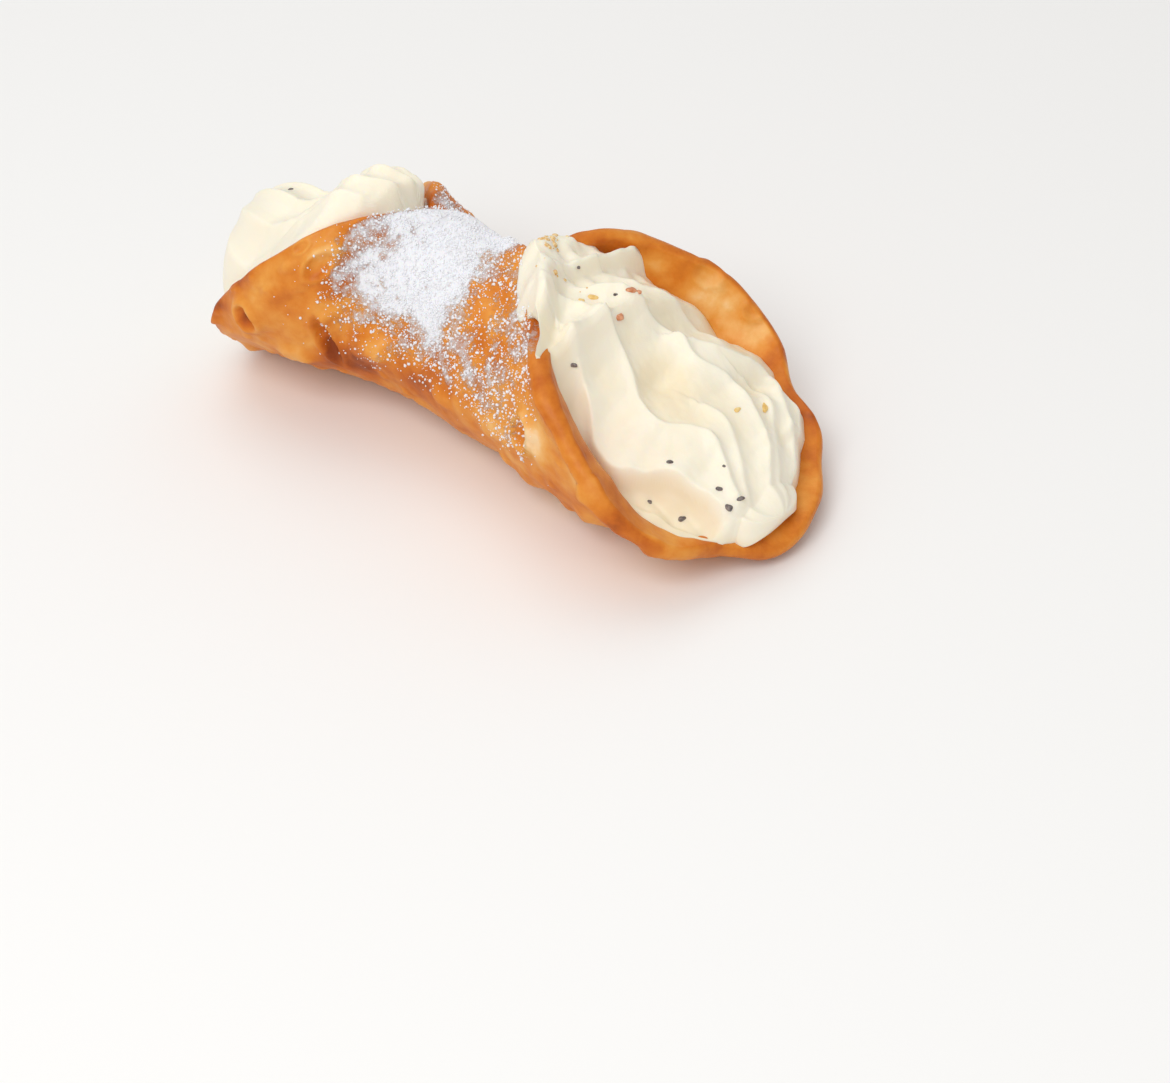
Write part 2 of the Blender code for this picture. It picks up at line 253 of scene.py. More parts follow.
def blisters():
    """Small domes scattered over the dough: x, arc, radius and height arrays."""
    rng = np.random.default_rng(BLISTER_SEED)
    u, v = rng.uniform(-0.97, 0.97, (2, BLISTER_COUNT))
    x, arc = place_on_dough(u, v)
    radius = BLISTER_RADII[0] + (BLISTER_RADII[1] - BLISTER_RADII[0]) * rng.random(BLISTER_COUNT) ** 2
    return x, arc, radius, radius * rng.uniform(*BLISTER_RISE, BLISTER_COUNT)


def domes(x, arc):
    """Height of the small blisters: each is h (1 - d²/r²)² within its radius r."""
    total = np.zeros_like(x)
    for cx, ca, radius, height in zip(*blisters()):
        d = np.clip(((x - cx) ** 2 + (arc - ca) ** 2) / radius ** 2, 0.0, 1.0)
        total = np.maximum(total, height * (1.0 - d) ** 2)
    return total


def crater_distance(x, arc, crater):
    """Distance from a crater's middle, 1 on its ellipse."""
    cx, ca, length, width, tilt = crater[:5]
    c, s = np.cos(np.radians(tilt)), np.sin(np.radians(tilt))
    along, across = (x - cx) * c + (arc - ca) * s, (arc - ca) * c - (x - cx) * s
    return np.hypot(along / length, across / width)


def craters(x, arc):
    """Height of the burst blisters: a raised ring about a sunk middle."""
    total = np.zeros_like(x)
    for crater in CRATERS:
        d = crater_distance(x, arc, crater)
        total += crater[5] * np.exp(-((d - 1.1) / 0.28) ** 2) - crater[6] * np.exp(-(d / 0.75) ** 4)
    return total


def undulation(x, arc, seed):
    """Soft unevenness of fried dough, from 10 mm waves down to 1 mm grains."""
    p = on_dough(x, arc)
    waves = 0.50 * noise(p, 10.0, seed) + 0.34 * noise(p, 5.0, seed + 1)
    return waves + 0.16 * noise(p, 2.4, seed + 2) + 0.06 * noise(p, 1.1, seed + 3)


def rim_beads(x, arc):
    """Small bubbles in a row along the rim: noise lumps, kept positive, within 3 mm of it."""
    beads = np.maximum(noise(on_dough(x, arc), 2.3, 61) + 0.15, 0.0)
    return 0.75 * beads * np.exp(-(to_rim(x, arc) / 3.0) ** 2)


def outside_relief(x, arc):
    """Height of everything on the outer face, from the large swellings to the fine grains."""
    fine = undulation(x, arc, 3) + domes(x, arc) + craters(x, arc) + rim_beads(x, arc)
    return relief(x, arc) + fine


def inside_relief(x, arc):
    """The inner face is smoother, and swells a little below the near rim of the front mouth;
    positive is still away from the tube's axis."""
    below_rim = np.exp(-((to_rim(x, arc) - 4.5) / 3.4) ** 2)
    thick = NEAR_LIP_SWELLING * below_rim * ease((x - 20.0) / 8.0) * ease((56.0 - x) / 12.0)
    lumps = 0.6 * undulation(x, arc, 40) - 0.6 * domes(x, -arc) - 0.4 * rim_beads(x, arc)
    lumps = lumps + np.where(arc > 20.0, craters(x, arc), 0.0)
    return relief(x, arc) + lumps - np.where(arc < 0, thick, 0.0)


def outside_point(x, arc, rise=0.0):
    """A point on the outer face of the dough, raised along its normal."""
    return outer_skin(x, arc) + outward(x, arc) * (outside_relief(x, arc) + rise)[..., None]


def inside_point(x, arc):
    """A point on the inner face of the dough."""
    return outer_skin(x, arc) + outward(x, arc) * (inside_relief(x, arc) - DOUGH)[..., None]


# --- Laying the shapes down in the frame ------------------------------------------------

def tipped(points):
    """Turn points from the tube's own frame to the way the cannolo lies."""
    p, r = np.radians(PITCH), np.radians(ROLL)
    about_y = np.array([[np.cos(p), 0, np.sin(p)], [0, 1, 0], [-np.sin(p), 0, np.cos(p)]])
    about_x = np.array([[1, 0, 0], [0, np.cos(r), -np.sin(r)], [0, np.sin(r), np.cos(r)]])
    return points @ (about_x @ about_y).T


def solid_shift():
    """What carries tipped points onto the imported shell: its box matches the plain shape's."""
    side = np.linspace(-1.0, 1.0, 91)
    u, v = (a.ravel() for a in np.meshgrid(side, side))
    x, arc = place_on_dough(u, v)
    skin, n = outer_skin(x, arc), outward(x, arc)
    plain = np.concatenate([skin + n * (relief(x, arc) - depth)[:, None] for depth in (0.0, DOUGH)])
    low, high = (np.array(corner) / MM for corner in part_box("shell"))
    box = tipped(plain)
    shift = (low + high) / 2.0 - (box.min(axis=0) + box.max(axis=0)) / 2.0
    shift[2] = high[2] - box[:, 2].max()
    return shift


SHIFT = solid_shift()


def settled(points):
    """Millimetres about the tube to metres in the frame, with nothing under the ground."""
    laid = tipped(points) + SHIFT
    laid[..., 2] = np.maximum(laid[..., 2], 0.0)
    return laid * MM


# --- Meshes -----------------------------------------------------------------------------

def grid_faces(rows, columns, closed=False):
    """Corner numbers of the quads of a grid of points, whose rows may close on themselves."""
    row = np.arange(columns if closed else columns - 1)
    first = np.stack([row, (row + 1) % columns], -1)
    quads = np.concatenate([first, first[:, ::-1] + columns], axis=1)
    return (quads[None] + (np.arange(rows - 1) * columns)[:, None, None]).reshape(-1, 4)


def add_mesh(name, points, faces, material, values=None, node=None):
    """Put points and faces into a smooth mesh that rides on the part. values is a dict of
    one number per point, kept as attributes for the material."""
    mesh = bpy.data.meshes.new(name)
    corners = faces.shape[1]
    mesh.vertices.add(len(points))
    mesh.vertices.foreach_set("co", points.astype(np.float32).ravel())
    mesh.loops.add(faces.size)
    mesh.loops.foreach_set("vertex_index", faces.astype(np.int32).ravel())
    mesh.polygons.add(len(faces))
    mesh.polygons.foreach_set("loop_start", np.arange(0, faces.size, corners, dtype=np.int32))
    mesh.update(calc_edges=True)
    mesh.validate()
    for key, numbers in (values or {}).items():
        layer = mesh.attributes.new(key, "FLOAT", "POINT")
        layer.data.foreach_set("value", numbers.astype(np.float32))
    mesh.shade_smooth()
    mesh.materials.append(material)
    piece = bpy.data.objects.new(name, mesh)
    bpy.context.scene.collection.objects.link(piece)
    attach(piece, "root")
    if node:
        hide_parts(node)
    return piece


# --- Materials --------------------------------------------------------------------------

def colour(code):
    """An sRGB hex colour as linear light."""
    s = np.array([int(code[i:i + 2], 16) for i in (1, 3, 5)]) / 255.0
    linear = np.where(s <= 0.04045, s / 12.92, ((s + 0.055) / 1.055) ** 2.4)
    return (*linear, 1.0)


def node(tree, kind, settings=None, **inputs):
    """Add a node: settings are its own properties, inputs its sockets, by name with _ for a
    space or by number as i0, i1; a value is a number, a colour, or a socket to link."""
    made = tree.nodes.new(kind)
    for key, value in (settings or {}).items():
        setattr(made, key, value)
    for key, value in inputs.items():
        numbered = key[0] == "i" and key[1:].isdigit()
        socket = made.inputs[int(key[1:]) if numbered else key.replace("_", " ")]
        if isinstance(value, bpy.types.NodeSocket):
            tree.links.new(value, socket)
        else:
            socket.default_value = value
    return made


def new_material(name):
    """An empty material: its tree and its Principled shader."""
    material = bpy.data.materials.new(name)
    material.use_nodes = True
    tree = material.node_tree
    return material, tree, tree.nodes["Principled BSDF"]


def scale_for(size_mm):
    """Noise scale whose lumps are about that size on Object coordinates in metres."""
    return 1.0 / (size_mm * MM)


def ramp(tree, factor, stops):
    """A colour ramp of (place, hex colour) stops."""
    made = node(tree, "ShaderNodeValToRGB", Fac=factor)
    elements = made.color_ramp.elements
    for index, (place, code) in enumerate(stops):
        element = elements[index] if index < 2 else elements.new(place)
        element.position = place
        element.color = colour(code)
    return made.outputs["Color"]


def maths(tree, operation, a, b, clamp=False):
    """The result of a maths node on two numbers or sockets."""
    made = node(tree, "ShaderNodeMath", dict(operation=operation, use_clamp=clamp), i0=a, i1=b)
    return made.outputs[0]


def mixed(tree, factor, a, b):
    """Colour a where factor is 0, b where it is 1."""
    made = node(tree, "ShaderNodeMix", dict(data_type="RGBA"), i0=factor, i6=a, i7=b)
    return made.outputs[2]


def fried_dough():
    """Wheat dough fried in oil: golden to orange-brown in patches, deeper along the rims and
    paler on blisters, with a soft oily gloss; powdered sugar clings to it as matt white.
    The tone it reads also holds painted shade and painted light from the patch tables."""
    material, tree, shader = new_material("fried wheat dough with powdered sugar")
    where = node(tree, "ShaderNodeTexCoord").outputs["Object"]
    tone = node(tree, "ShaderNodeAttribute", dict(attribute_name="tone")).outputs["Fac"]
    dust = node(tree, "ShaderNodeAttribute", dict(attribute_name="dust")).outputs["Fac"]
    patches = node(tree, "ShaderNodeTexNoise", Vector=where, Scale=scale_for(7.0), Detail=3.0)
    grain = node(tree, "ShaderNodeTexNoise", Vector=where, Scale=scale_for(1.6), Detail=6.0,
                 Roughness=0.6)
    shade = maths(tree, "MULTIPLY_ADD", patches.outputs["Fac"], 0.5)
    shade.node.inputs[2].default_value = -0.25
    speck = maths(tree, "MULTIPLY_ADD", grain.outputs["Fac"], 0.34)
    speck.node.inputs[2].default_value = -0.17
    level = maths(tree, "ADD", maths(tree, "ADD", tone, shade), speck, clamp=True)
    crust = ramp(tree, level, (
        (0.0, "#8E3D06"), (0.22, "#C1620F"), (0.42, "#D87F22"), (0.62, "#E4993F"),
        (0.82, "#EDB56A"), (1.0, "#F3D0A0"),
    ))
    clumps = node(tree, "ShaderNodeTexNoise", Vector=where, Scale=scale_for(1.3), Detail=7.0,
                  Roughness=0.8)
    drifts = node(tree, "ShaderNodeTexNoise", Vector=where, Scale=scale_for(4.0), Detail=3.0)
    blend = maths(tree, "ADD", maths(tree, "MULTIPLY", clumps.outputs["Fac"], 0.6),
                  maths(tree, "MULTIPLY", drifts.outputs["Fac"], 0.4))
    over = maths(tree, "SUBTRACT", maths(tree, "ADD", dust, maths(tree, "MULTIPLY", blend, 1.8)), 1.32)
    cover = maths(tree, "MULTIPLY", over, 3.6, clamp=True)
    tree.links.new(mixed(tree, cover, crust, colour("#ECECEF")), shader.inputs["Base Color"])
    rough = maths(tree, "MULTIPLY_ADD", cover, 0.4)
    rough.node.inputs[2].default_value = 0.46
    tree.links.new(rough, shader.inputs["Roughness"])
    height = maths(tree, "ADD", maths(tree, "MULTIPLY", grain.outputs["Fac"], 0.35),
                   maths(tree, "MULTIPLY", cover, 0.9))
    bump = node(tree, "ShaderNodeBump", Height=height, Strength=0.7, Distance=0.45 * MM)
    tree.links.new(bump.outputs["Normal"], shader.inputs["Normal"])
    shader.inputs["IOR"].default_value = 1.45
    shader.inputs["Specular IOR Level"].default_value = 0.35
    shader.inputs["Subsurface Weight"].default_value = 0.12
    shader.inputs["Subsurface Radius"].default_value = (1.0, 0.45, 0.2)
    shader.inputs["Subsurface Scale"].default_value = 1.2 * MM
    return material


def ricotta_cream():
    """Sweet ricotta beaten with sugar: warm white, moist and slightly grainy, and light
    travels a few millimetres into it. Its creases carry painted shade: they are coloured a darker, warmer
    cream."""
    material, tree, shader = new_material("sweet ricotta cream")
    where = node(tree, "ShaderNodeTexCoord").outputs["Object"]
    crease_shade = node(tree, "ShaderNodeAttribute", dict(attribute_name="crease_shade")).outputs["Fac"]
    clouds = node(tree, "ShaderNodeTexNoise", Vector=where, Scale=scale_for(6.0), Detail=2.0)
    level = maths(tree, "ADD", crease_shade, maths(tree, "MULTIPLY", clouds.outputs["Fac"], 0.25), clamp=True)
    # painted shade: a high crease value turns the cream darker and warmer, towards #E6CC9B
    body = ramp(tree, level, ((0.0, "#F8F1DF"), (0.5, "#F4E8CD"), (1.0, "#E6CC9B")))
    tree.links.new(body, shader.inputs["Base Color"])
    curds = node(tree, "ShaderNodeTexNoise", Vector=where, Scale=scale_for(0.9), Detail=3.0)
    bump = node(tree, "ShaderNodeBump", Height=curds.outputs["Fac"], Strength=0.3, Distance=0.12 * MM)
    tree.links.new(bump.outputs["Normal"], shader.inputs["Normal"])
    shader.inputs["Roughness"].default_value = 0.42
    shader.inputs["IOR"].default_value = 1.4
    shader.inputs["Subsurface Weight"].default_value = 0.35
    shader.inputs["Subsurface Radius"].default_value = (1.0, 0.75, 0.45)
    shader.inputs["Subsurface Scale"].default_value = 1.4 * MM
    return material


def powdered_sugar():
    """Icing sugar: matt, and a cooler white than the cream."""
    material, _, shader = new_material("icing sugar")
    shader.inputs["Base Color"].default_value = colour("#EDEDF0")
    shader.inputs["Roughness"].default_value = 0.9
    return material


def speckled(name, dark, light, roughness, size_mm):
    """A small solid bit, mottled between two colours with grains of that size."""
    material, tree, shader = new_material(name)
    where = node(tree, "ShaderNodeTexCoord").outputs["Object"]
    grain = node(tree, "ShaderNodeTexNoise", Vector=where, Scale=scale_for(size_mm), Detail=3.0)
    body = ramp(tree, grain.outputs["Fac"], ((0.35, dark), (0.65, light)))
    tree.links.new(body, shader.inputs["Base Color"])
    bump = node(tree, "ShaderNodeBump", Height=grain.outputs["Fac"], Strength=0.3, Distance=0.1 * MM)
    tree.links.new(bump.outputs["Normal"], shader.inputs["Normal"])
    shader.inputs["Roughness"].default_value = roughness
    return material


# --- The shell --------------------------------------------------------------------------

# Where the crust is paler or browner than elsewhere, with painted shade and painted light among them: x,
# arc, half length, half width, tone
OUTSIDE_TONE_AND_SHADE = (
    (40.0, -33.0, 3.0, 4.0, 0.25),
    (33.0, -30.5, 1.6, 3.4, 0.38),
    # painted shade in the slit of the long open blister and in the hole of the burst blister
    (29.6, -29.6, 1.2, 2.4, -0.22),
    (-24.3, -30.4, 1.6, 1.2, -0.5),
    (-13.5, -39.7, 2.0, 1.7, 0.2),
    (-18.0, -36.0, 8.0, 6.0, -0.12),
    (-16.0, -24.0, 7.0, 5.0, 0.16),
    # painted shade in the fold under the waist
    (-11.8, -24.0, 1.5, 4.5, -0.42),
    (-14.0, -35.0, 2.5, 4.0, -0.10),
    (30.0, -9.0, 14.0, 5.0, 0.12),
    # painted shade low on the near side, along the underside of the dough
    (-12.0, -19.0, 12.0, 4.0, -0.22),
    (12.0, -18.0, 12.0, 5.0, -0.16),
    (44.0, -24.0, 8.0, 5.0, -0.20),
    (-28.0, -38.0, 4.0, 5.0, -0.14),
)
INSIDE_TONE_LIGHT_AND_SHADE = (
    (27.5, 38.5, 3.0, 3.0, 0.16),
    (36.0, 31.0, 5.0, 3.0, 0.14),
    # painted shade on the far inner wall, by the waist and towards the front rim
    (17.0, 42.0, 4.0, 3.0, -0.12),
    (54.0, 22.0, 6.0, 4.0, -0.10),
    # painted light over the middle of the far inner wall
    (30.0, 36.0, 13.0, 6.0, 0.20),
    # painted shade on the inner face of the near flap
    (46.0, -30.0, 12.0, 5.0, -0.16),
)


def dust_density(x, arc):
    """Powdered sugar on the outer face: nearly 1 over the top of the waist, fading down
    the sides, with a thinner streak towards the front on the near side."""
    p = on_dough(x, arc)
    ragged = 3.0 * noise(p, 5.0, 71) + 1.6 * noise(p, 2.2, 72)
    near = ease((-arc - 18.0 + ragged) / 17.0)
    far = ease((arc - 26.0 + ragged) / 14.0)
    along = 1.0 - ease((np.abs(x - 0.6) + ragged - 4.0) / 13.0)
    core = 0.86 * np.where(arc < 0, near, far) * along
    rows = 0.42 + 0.16 * noise(p, 3.2, 73)
    streak = rows * ease((x - 4.0) / 6.0) * ease((-arc - 21.0) / 6.0) * ease((36.0 - x) / 12.0)
    return np.maximum(core, streak)


def crust_tone(x, arc, height, patches, seed):
    """How pale the crust is, 0 to 1: browner in a band along the rim, paler on raised spots, and
    paler or browner in the listed patches, which also hold painted shade and painted light."""
    p = on_dough(x, arc)
    rim = np.exp(-to_rim(x, arc) / 3.0)
    blotches = 0.12 * noise(p, 9.0, seed) + 0.14 * noise(p, 3.5, seed + 1) + 0.07 * noise(p, 1.5, seed + 2)
    tone = 0.5 + blotches - 0.16 * rim + 0.2 * height
    # some patches are painted shade and painted light, not the crust's own colour
    for cx, ca, rx, ra, change in patches:
        tone += change * np.exp(-((x - cx) / rx) ** 2 - ((arc - ca) / ra) ** 2)
    return tone


def square_rim(cells):
    """Numbers of the points on the border of a square grid, in order round it."""
    side = np.arange(cells + 1)
    stride = cells + 1
    return np.concatenate([
        side[:-1], side[:-1] * stride + cells, cells * stride + side[:0:-1], side[:0:-1] * stride,
    ])


def make_shell():
    """Two faces of the dough over a square grid that is crowded towards the rim, joined by
    a rounded edge: each edge row turns from one face to the other about the sheet's middle,
    bulging outwards by half of the dough's thickness."""
    side = np.linspace(-1.0, 1.0, SHEET_CELLS + 1)
    side = np.sign(side) * (1.0 - (1.0 - np.abs(side)) ** 1.2)
    v, u = (a.ravel() for a in np.meshgrid(side, side))
    x, arc = place_on_dough(u, v)
    outer, inner = outside_point(x, arc), inside_point(x, arc)
    rim = square_rim(SHEET_CELLS)
    bx, ba = place_on_dough(u[rim] * 0.98, v[rim] * 0.98)
    beyond = outer_skin(x[rim], arc[rim]) - outer_skin(bx, ba)
    beyond /= np.linalg.norm(beyond, axis=-1, keepdims=True)
    middle, half = (outer[rim] + inner[rim]) / 2.0, (outer[rim] - inner[rim]) / 2.0
    angles = np.linspace(0.0, np.pi, RIM_ROWS + 2)[1:-1]
    edges = [middle + half * np.cos(a) + beyond * 0.35 * DOUGH * np.sin(a) for a in angles]
    count = len(u)
    sheet = grid_faces(SHEET_CELLS + 1, SHEET_CELLS + 1)
    loops = [rim] + [2 * count + len(rim) * row + np.arange(len(rim)) for row in range(RIM_ROWS)]
    loops.append(rim + count)
    bands = [np.stack([a, np.roll(a, -1), np.roll(b, -1), b], -1) for a, b in zip(loops, loops[1:])]
    faces = np.concatenate([sheet, sheet[:, ::-1] + count, *(band[:, ::-1] for band in bands)])
    points = np.concatenate([outer, inner, *edges])
    fine = domes(x, arc) + np.maximum(craters(x, arc), 0.0)
    # tone and within carry the painted shade and painted light of the patch tables, besides the crust's
    # own colour
    tone = crust_tone(x, arc, fine, OUTSIDE_TONE_AND_SHADE, 21)
    within = crust_tone(x, arc, 0.0 * fine, INSIDE_TONE_LIGHT_AND_SHADE, 31)
    dust = dust_density(x, arc)
    values = dict(
        tone=np.concatenate([tone, within] + [tone[rim] - 0.05] * RIM_ROWS),
        dust=np.concatenate([dust, dust * 0.0] + [dust[rim]] * RIM_ROWS),
    )
    return add_mesh("fried_shell", settled(points), faces, fried_dough(), values,
                    node="shell")


# --- The cream --------------------------------------------------------------------------

CREAM_REAR = -34.0        # x of the first and the last ring before the rounded ends
CREAM_FRONT = 61.2
REAR_CAP = 10.6           # lengths of the rounded ends
FRONT_CAP = 3.3
REAR_LIFT = 3.0           # how far the middles of the ends stand clear of the dough
FRONT_LIFT = 0.4
FRONT_DROOP = 0.3         # how far the front tip sinks, over the length of its end
CLOSED_AT = 174.0         # degrees from the bottom line beyond which the cream stays covered
LAP_CLEARANCE = 0.4       # extra depth of the cream where one flap lies over the other
NARROW = (4.0, 9.0)       # width of the mouth at which the arch starts to rise, and the run
SINK = 0.35               # how far the cream sinks into the dough, so that no gap shows
CREAM_STATIONS = 276
WALL_STEPS = 56
DOME_STEPS = 230
CAP_RINGS = 32

NEAR_MARGIN = (           # how far below the rim it leaves the near flap
    (-38, 2), (-33, 9), (-28, 12), (-22, 8), (-16, 1), (-8, -1), (0, 2),
    (18, 0.8), (28, 2), (33.5, 8.5), (38, 11), (46, 9.5), (50, 8.0), (53, 6.6), (57, 4.8), (59, 5.2),
    (60.4, 5.4), (61.2, 6.6),
)
FAR_MARGIN = (
    (-38, 2), (-33, 6), (-28, 8), (-24, 4.5), (-18, -1), (-8, -1.2), (0, 2), (9, 1),
    (14, 4), (16, 6.2), (17.6, 5.4), (18.9, 2.6), (20.4, 7.4), (22, 8.2), (25.5, 7.5), (28.9, 6.9),
    (34, 8), (37.6, 5.6), (40.9, 4.2), (43.9, 3.8), (46.3, 4.8), (49.3, 3.5), (52.7, 2.7), (55.2, 3.6),
    (56.5, 5.3), (58.5, 6.0), (60.2, 6.8), (61.2, 8.4),
)
FILM = 1.2                # thickness of the cream that lies over the near rim
SPILL = (                 # how far it spills down the outside of the near flap
    (11, 0), (13.6, 3.2), (16, 4.8), (20.5, 6), (25, 5.2), (28, 3.8), (30, 2), (31.2, 0),
)
CREST = (                 # how high the arch of cream rises over the mouth
    (-36, 20.5), (-30, 16), (-20, 9), (-12, 4), (-6, 1), (-3, 0), (4, 0), (8, 2.5),
    (12, 4), (16, 4.5), (22, 5), (30, 6.5), (40, 8), (50, 7.4), (56, 6.0), (61.2, 4.4),
)

# Piped ridges seen from above: points (x, y), widths on the near and the far side, height,
# and how much lower the cream lies on the near side. Their crests are crisp and their
# flanks hollow, as the star nozzle leaves them.
RIDGES = (
    (((29, -10), (33, -10.5), (37, -12.3), (40, -14.6), (44, -15.3), (47, -13.1), (51, -10.2),
      (56, -8.7), (60, -8.2)), 0.6, 2.8, 1.8, 2.3),
    (((25, -5), (30, -3.1), (33, -2.3), (37, -3.3), (41, -5.8), (45, -6.3), (48, -3.8),
      (51, -2.2), (54, -2.6), (58, -5.0), (62, -6.4)), 2.4, 0.9, 2.0, 0.0),
    (((26, 3), (31.5, 5.7), (34, 7.7), (37.5, 8.1), (41, 7.4), (45, 9.3), (48.5, 9.4), (52, 8.0),
      (56, 6.2), (60, 2.0), (63, -1.5)), 2.4, 0.9, 1.9, 0.0),
    (((38, 10), (42, 14), (46, 19), (49, 18), (52, 15.5), (55.5, 13.4), (58.5, 10.5), (62, 7)),
     2.2, 1.0, 2.4, 0.0),
    (((47, 2.2), (50, 2.6), (53, 1.6), (56, -0.4), (59, -2.8), (62, -4.6)), 1.4, 0.7, 1.1, 0.0),
    (((46, 13.2), (49, 13.6), (52, 12.2), (55, 9.6), (58, 6.4), (62, 2.6)), 1.4, 0.8, 1.3, 0.0),
    (((50, 21.5), (52.5, 19.5), (55, 17), (57.5, 14), (60, 11)), 1.4, 0.9, 1.2, 0.0),
    (((44, -18), (47, -17), (50, -15.8), (52, -14.4), (55, -13.6), (59, -11.5)), 1.6, 0.8, 1.2, 0.0),
    (((17, -3), (20, -2), (24, 0.5), (28, 3.5)), 1.4, 1.0, 0.9, 0.0),
    (((22, 9), (26, 11), (30, 13.5), (34, 16), (38, 17)), 2.0, 1.2, 1.0, 0.0),
    (((-14, -8), (-20, -11), (-27, -13), (-33, -13.5), (-38, -14)), 1.8, 1.0, 1.5, 0.0),
    (((-12, -3), (-18, -6.5), (-25, -6), (-30, -8.5), (-38, -9)), 2.0, 0.9, 1.8, 0.0),
    (((-12, 1), (-19, -1.5), (-25, 0), (-31, -2.5), (-40, -3)), 2.0, 0.9, 1.8, 0.0),
    (((-12, 4), (-19, 4), (-25, 6), (-31, 3.5), (-40, 3)), 2.0, 0.9, 1.7, 0.0),
    (((-14, 7), (-20, 9), (-26, 11.5), (-32, 9.5), (-40, 9)), 2.0, 0.9, 1.6, 0.0),
    (((-20, 13), (-26, 16), (-33, 15), (-38, 14)), 1.8, 1.0, 1.3, 0.0),
)
CREST_SOFTNESS = 0.35     # rounding of a crisp crest

# Lumps and hollows of the cream seen from above: x, y, half x, half y, height
LUMPS = (
    (39.5, 1.0, 3.0, 3.6, -1.6),
    (51.0, -12.2, 3.5, 1.0, -1.0),
    (57.0, -10.2, 3.0, 1.0, -0.8),
    (48.0, 13.5, 4.0, 2.0, -1.2),
    (55.0, 10.5, 4.0, 1.8, -1.0),
    (-26.0, 9.0, 5.0, 4.0, 1.6),
    (-38.0, -3.0, 5.0, 5.0, 1.0),
    (-33.0, -12.0, 4.0, 3.0, -1.2),
    (20.0, 10.5, 4.0, 3.5, -1.0),
    (15.0, -6.0, 5.0, 4.5, 0.3),
    (23.0, -8.0, 5.0, 4.5, 1.2),
    (18.7, 18.0, 1.2, 3.0, 2.5),
)


def along_cream(x, pairs):
    """Value at x of a list of (x, value) pairs, eased between neighbours."""
    knots = np.array(pairs, float)
    i = np.clip(np.searchsorted(knots[:, 0], x, side="right") - 1, 0, len(knots) - 2)
    left, right = knots[i], knots[i + 1]
    t = np.clip((x - left[..., 0]) / (right[..., 0] - left[..., 0]), 0.0, 1.0)
    return left[..., 1] + (right[..., 1] - left[..., 1]) * (0.5 * t + 0.5 * ease(t))


def contact(x, side, margin):
    """Arc at which the cream leaves the dough: a margin below the rim, or at the top."""
    side = np.full_like(x, side)
    closed = np.radians(CLOSED_AT) * bend_radius(x, side)
    return np.minimum(np.maximum(half_width(x, side) - along_cream(x, margin), 0.5), closed)


def cream_wall(x, arc):
    """Face of the cream along the inside of the dough, sunk a little into it."""
    under = np.where(arc < 0, OUTER_STEP + INNER_STEP + LAP_CLEARANCE, 0.0) * lap(x, arc)
    depth = DOUGH - SINK + under - relief(x, arc)
    return outer_skin(x, arc) - outward(x, arc) * depth[..., None]


def cream_dome(start, end, crest, steps):
    """Round arch over the mouth from start to end that rises by crest in the middle."""
    chord = start - end
    width = np.linalg.norm(chord, axis=-1, keepdims=True)
    sideways = chord / width
    upwards = np.cross(np.array([1.0, 0.0, 0.0]), sideways)
    upwards /= np.linalg.norm(upwards, axis=-1, keepdims=True)
    fade = np.clip((width - NARROW[0]) / NARROW[1], 0.0, 1.0)
    rise = np.maximum(crest[:, None, None] * fade, 0.02)
    radius = (width * width / 4.0 + rise * rise) / (2.0 * rise)
    angle = 2.0 * np.arctan(2.0 * rise / width) * np.linspace(1.0, -1.0, steps + 2)[None, 1:-1, None]
    centre = (start + end) / 2.0 + upwards * (rise - radius)
    return centre + radius * (sideways * np.sin(angle) + upwards * np.cos(angle)), upwards


def over_rim(dome, upwards, foot, x, spill):
    """How far each point of the dome is lifted along upwards where the cream lies over the
    near rim: enough for a film of FILM above the dough between its foot and the rim."""
    lift = np.zeros(dome.shape[:2])
    for row in np.nonzero(spill > 0.3)[0]:
        rim = half_width(x[row:row + 1], np.array([-1.0]))[0]
        arc = np.linspace(spill[row] - rim, -rim, 24)
        skin = outside_point(np.full(24, x[row]), arc) - foot[row]
        up = upwards[row, 0]
        sideways = np.cross(up, [1.0, 0.0, 0.0])
        across, height = skin @ sideways, skin @ up
        film = FILM * ease(spill[row] / 4.0) * np.sqrt(np.clip(across / across[-1], 0.0, 1.0))
        from_foot = dome[row] - foot[row]
        here = from_foot @ sideways
        needed = np.interp(here, across, height + film) - from_foot @ up
        lift[row] = np.maximum(needed, 0.0) * ease((across[-1] + 8.0 - here) / 7.0)
    return lift


def distance_to_path(p, path):
    """Distance of the points p, seen from above, to a path of (x, y) points, with a minus
    sign on its right-hand side."""
    best, sign = np.full(p.shape[:-1], np.inf), np.ones(p.shape[:-1])
    for a, b in zip(np.array(path[:-1], float), np.array(path[1:], float)):
        from_a = p[..., :2] - a
        t = np.clip((from_a @ (b - a)) / ((b - a) @ (b - a)), 0.0, 1.0)
        d = np.linalg.norm(from_a - t[..., None] * (b - a), axis=-1)
        left = (b - a)[0] * from_a[..., 1] - (b - a)[1] * from_a[..., 0]
        sign = np.where(d < best, np.sign(left), sign)
        best = np.minimum(best, d)
    return best * sign


def smooth_path(points, steps=6):
    """Catmull-Rom curve through the points, with so many steps from one to the next."""
    p = np.array(points, float)
    p = np.concatenate([2.0 * p[:1] - p[1:2], p, 2.0 * p[-1:] - p[-2:-1]])
    t = (np.arange(steps) / steps)[None, :, None]
    a, b, c, d = (p[i:len(p) - 3 + i, None] for i in range(4))
    bend = (2 * a - 5 * b + 4 * c - d) * t ** 2 + (3 * b - a - 3 * c + d) * t ** 3
    curve = b + 0.5 * ((c - a) * t + bend)
    return np.concatenate([curve.reshape(-1, 2), p[-2:-1]])


